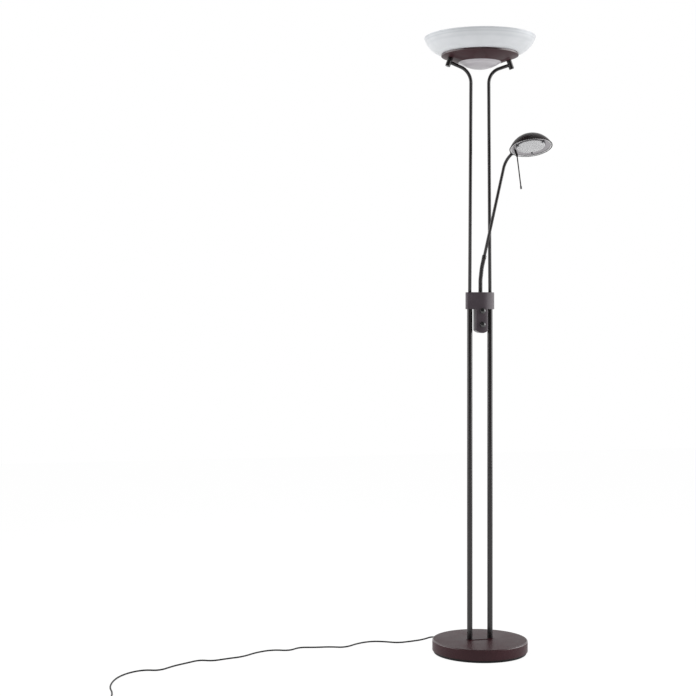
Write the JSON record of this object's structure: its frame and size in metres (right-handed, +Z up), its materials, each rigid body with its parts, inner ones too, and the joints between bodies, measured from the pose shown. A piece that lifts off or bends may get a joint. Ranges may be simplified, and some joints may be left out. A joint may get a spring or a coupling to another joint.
{
  "type": "torchiere floor lamp",
  "caption": "Twin-pole torchiere floor lamp with an opal glass uplight bowl, a flexible-neck reading light, rotary dimmers and a round weighted base.",
  "frame": {"origin": "centre of the round base, on the floor", "axes": "+Z up along the poles, +X from the left pole to the right pole, -Y to the side of the dimmer knobs"},
  "size_m": [1.3978, 0.5435, 1.8],
  "materials": {
    "body_lacquer": "semi-gloss black-brown lacquer",
    "hose_lacquer": "satin black-brown lacquer on a ribbed steel hose",
    "dark_trim": "satin black",
    "knob_plastic": "gloss black",
    "opal_glass": "satin opal glass",
    "grey_glass": "satin grey-white glass",
    "lens_glass": "frosted",
    "lamp_glass": "clear",
    "reflector_metal": "satin",
    "clip_steel": "dark spring steel",
    "zinc_steel": "zinc plated",
    "weight_iron": "as cast",
    "foot_rubber": "matte black",
    "socket_ceramic": "unglazed white",
    "board_laminate": "green circuit board",
    "component_plastic": "matte",
    "lead_sheath": "white sheath",
    "cord_sheath": "satin black",
    "tie_plastic": "black",
    "plated_brass": "nickel plated"
  },
  "bodies": {
    "stand": {"base_cover": "body_lacquer", "base_nuts": "zinc_steel", "base_plate": "zinc_steel", "base_studs": "zinc_steel", "base_weight": "weight_iron", "cord_coil": "cord_sheath", "cord_run": "cord_sheath", "cord_tie": "tie_plastic", "dimmer_board": "board_laminate", "dimmer_nuts": "zinc_steel", "dimmer_parts": "component_plastic", "dimmer_pots": "zinc_steel", "foot_pad": "foot_rubber", "gooseneck_lower": "hose_lacquer", "holder_ring": "body_lacquer", "housing_front": "body_lacquer", "housing_lid": "body_lacquer", "housing_rear": "body_lacquer", "housing_screws": "zinc_steel", "inner_leads": "lead_sheath", "lamp_bridge": "dark_trim", "lamp_sockets": "socket_ceramic", "lower_glass": "grey_glass", "neck_foot": "body_lacquer", "neck_nut": "zinc_steel", "plate_screws": "zinc_steel", "plug": "cord_sheath", "plug_pins": "plated_brass", "pole_bottom_left": "body_lacquer", "pole_bottom_right": "body_lacquer", "pole_couplers": "zinc_steel", "pole_middle_left": "body_lacquer", "pole_middle_right": "body_lacquer", "pole_plugs": "zinc_steel", "pole_reducers": "body_lacquer", "ring_bosses": "body_lacquer", "ring_screws": "dark_trim", "strain_relief": "foot_rubber", "uplight_tube": "lamp_glass", "upper_pole_left": "body_lacquer", "upper_pole_right": "body_lacquer"},
    "neck": {"gooseneck_upper": "hose_lacquer"},
    "arm": {"arm_tube": "body_lacquer", "arm_ferrule": "body_lacquer", "swivel_pin": "zinc_steel"},
    "head": {"head_shade": "body_lacquer", "head_knuckle": "body_lacquer", "reflector": "reflector_metal", "lens": "lens_glass", "lens_clips": "clip_steel", "head_lampholder": "socket_ceramic", "capsule_bulb": "lamp_glass", "handle_lever": "dark_trim", "handle_rod": "dark_trim", "handle_tip": "knob_plastic"},
    "upper_dimmer": {"upper_knob": "knob_plastic", "upper_shaft": "zinc_steel"},
    "lower_dimmer": {"lower_knob": "knob_plastic", "lower_shaft": "zinc_steel"},
    "bowl": {"uplight_bowl": "opal_glass"}
  },
  "joints": [
    {"name": "neck_sway", "type": "hinge", "parent": "stand", "child": "neck", "pos_m": [0, -0.005, 1.084], "axis": [0.2419, 0.9703, 0], "range_deg": [-12, 35], "deforming": ["gooseneck_lower"]},
    {"name": "neck_nod", "type": "hinge", "parent": "neck", "child": "arm", "pos_m": [0.00381, -0.00595, 1.12609], "axis": [0.9703, -0.2419, 0], "range_deg": [0, 40], "deforming": ["gooseneck_upper"]},
    {"name": "head_swivel", "type": "hinge", "parent": "arm", "child": "head", "pos_m": [0.08445, -0.03719, 1.45711], "axis": [0.4992, -0.5136, 0.6978], "range_deg": [-60, 60]},
    {"name": "upper_dimmer_turn", "type": "hinge", "parent": "stand", "child": "upper_dimmer", "pos_m": [0, -0.0235, 0.999], "axis": [0, 1, 0], "range_deg": [0, 290]},
    {"name": "lower_dimmer_turn", "type": "hinge", "parent": "stand", "child": "lower_dimmer", "pos_m": [0, -0.0235, 0.959], "axis": [0, 1, 0], "range_deg": [0, 290]},
    {"name": "bowl_lift", "type": "slide", "parent": "stand", "child": "bowl", "axis": [0, 0, 1], "range_m": [0, 0.1]}
  ]
}
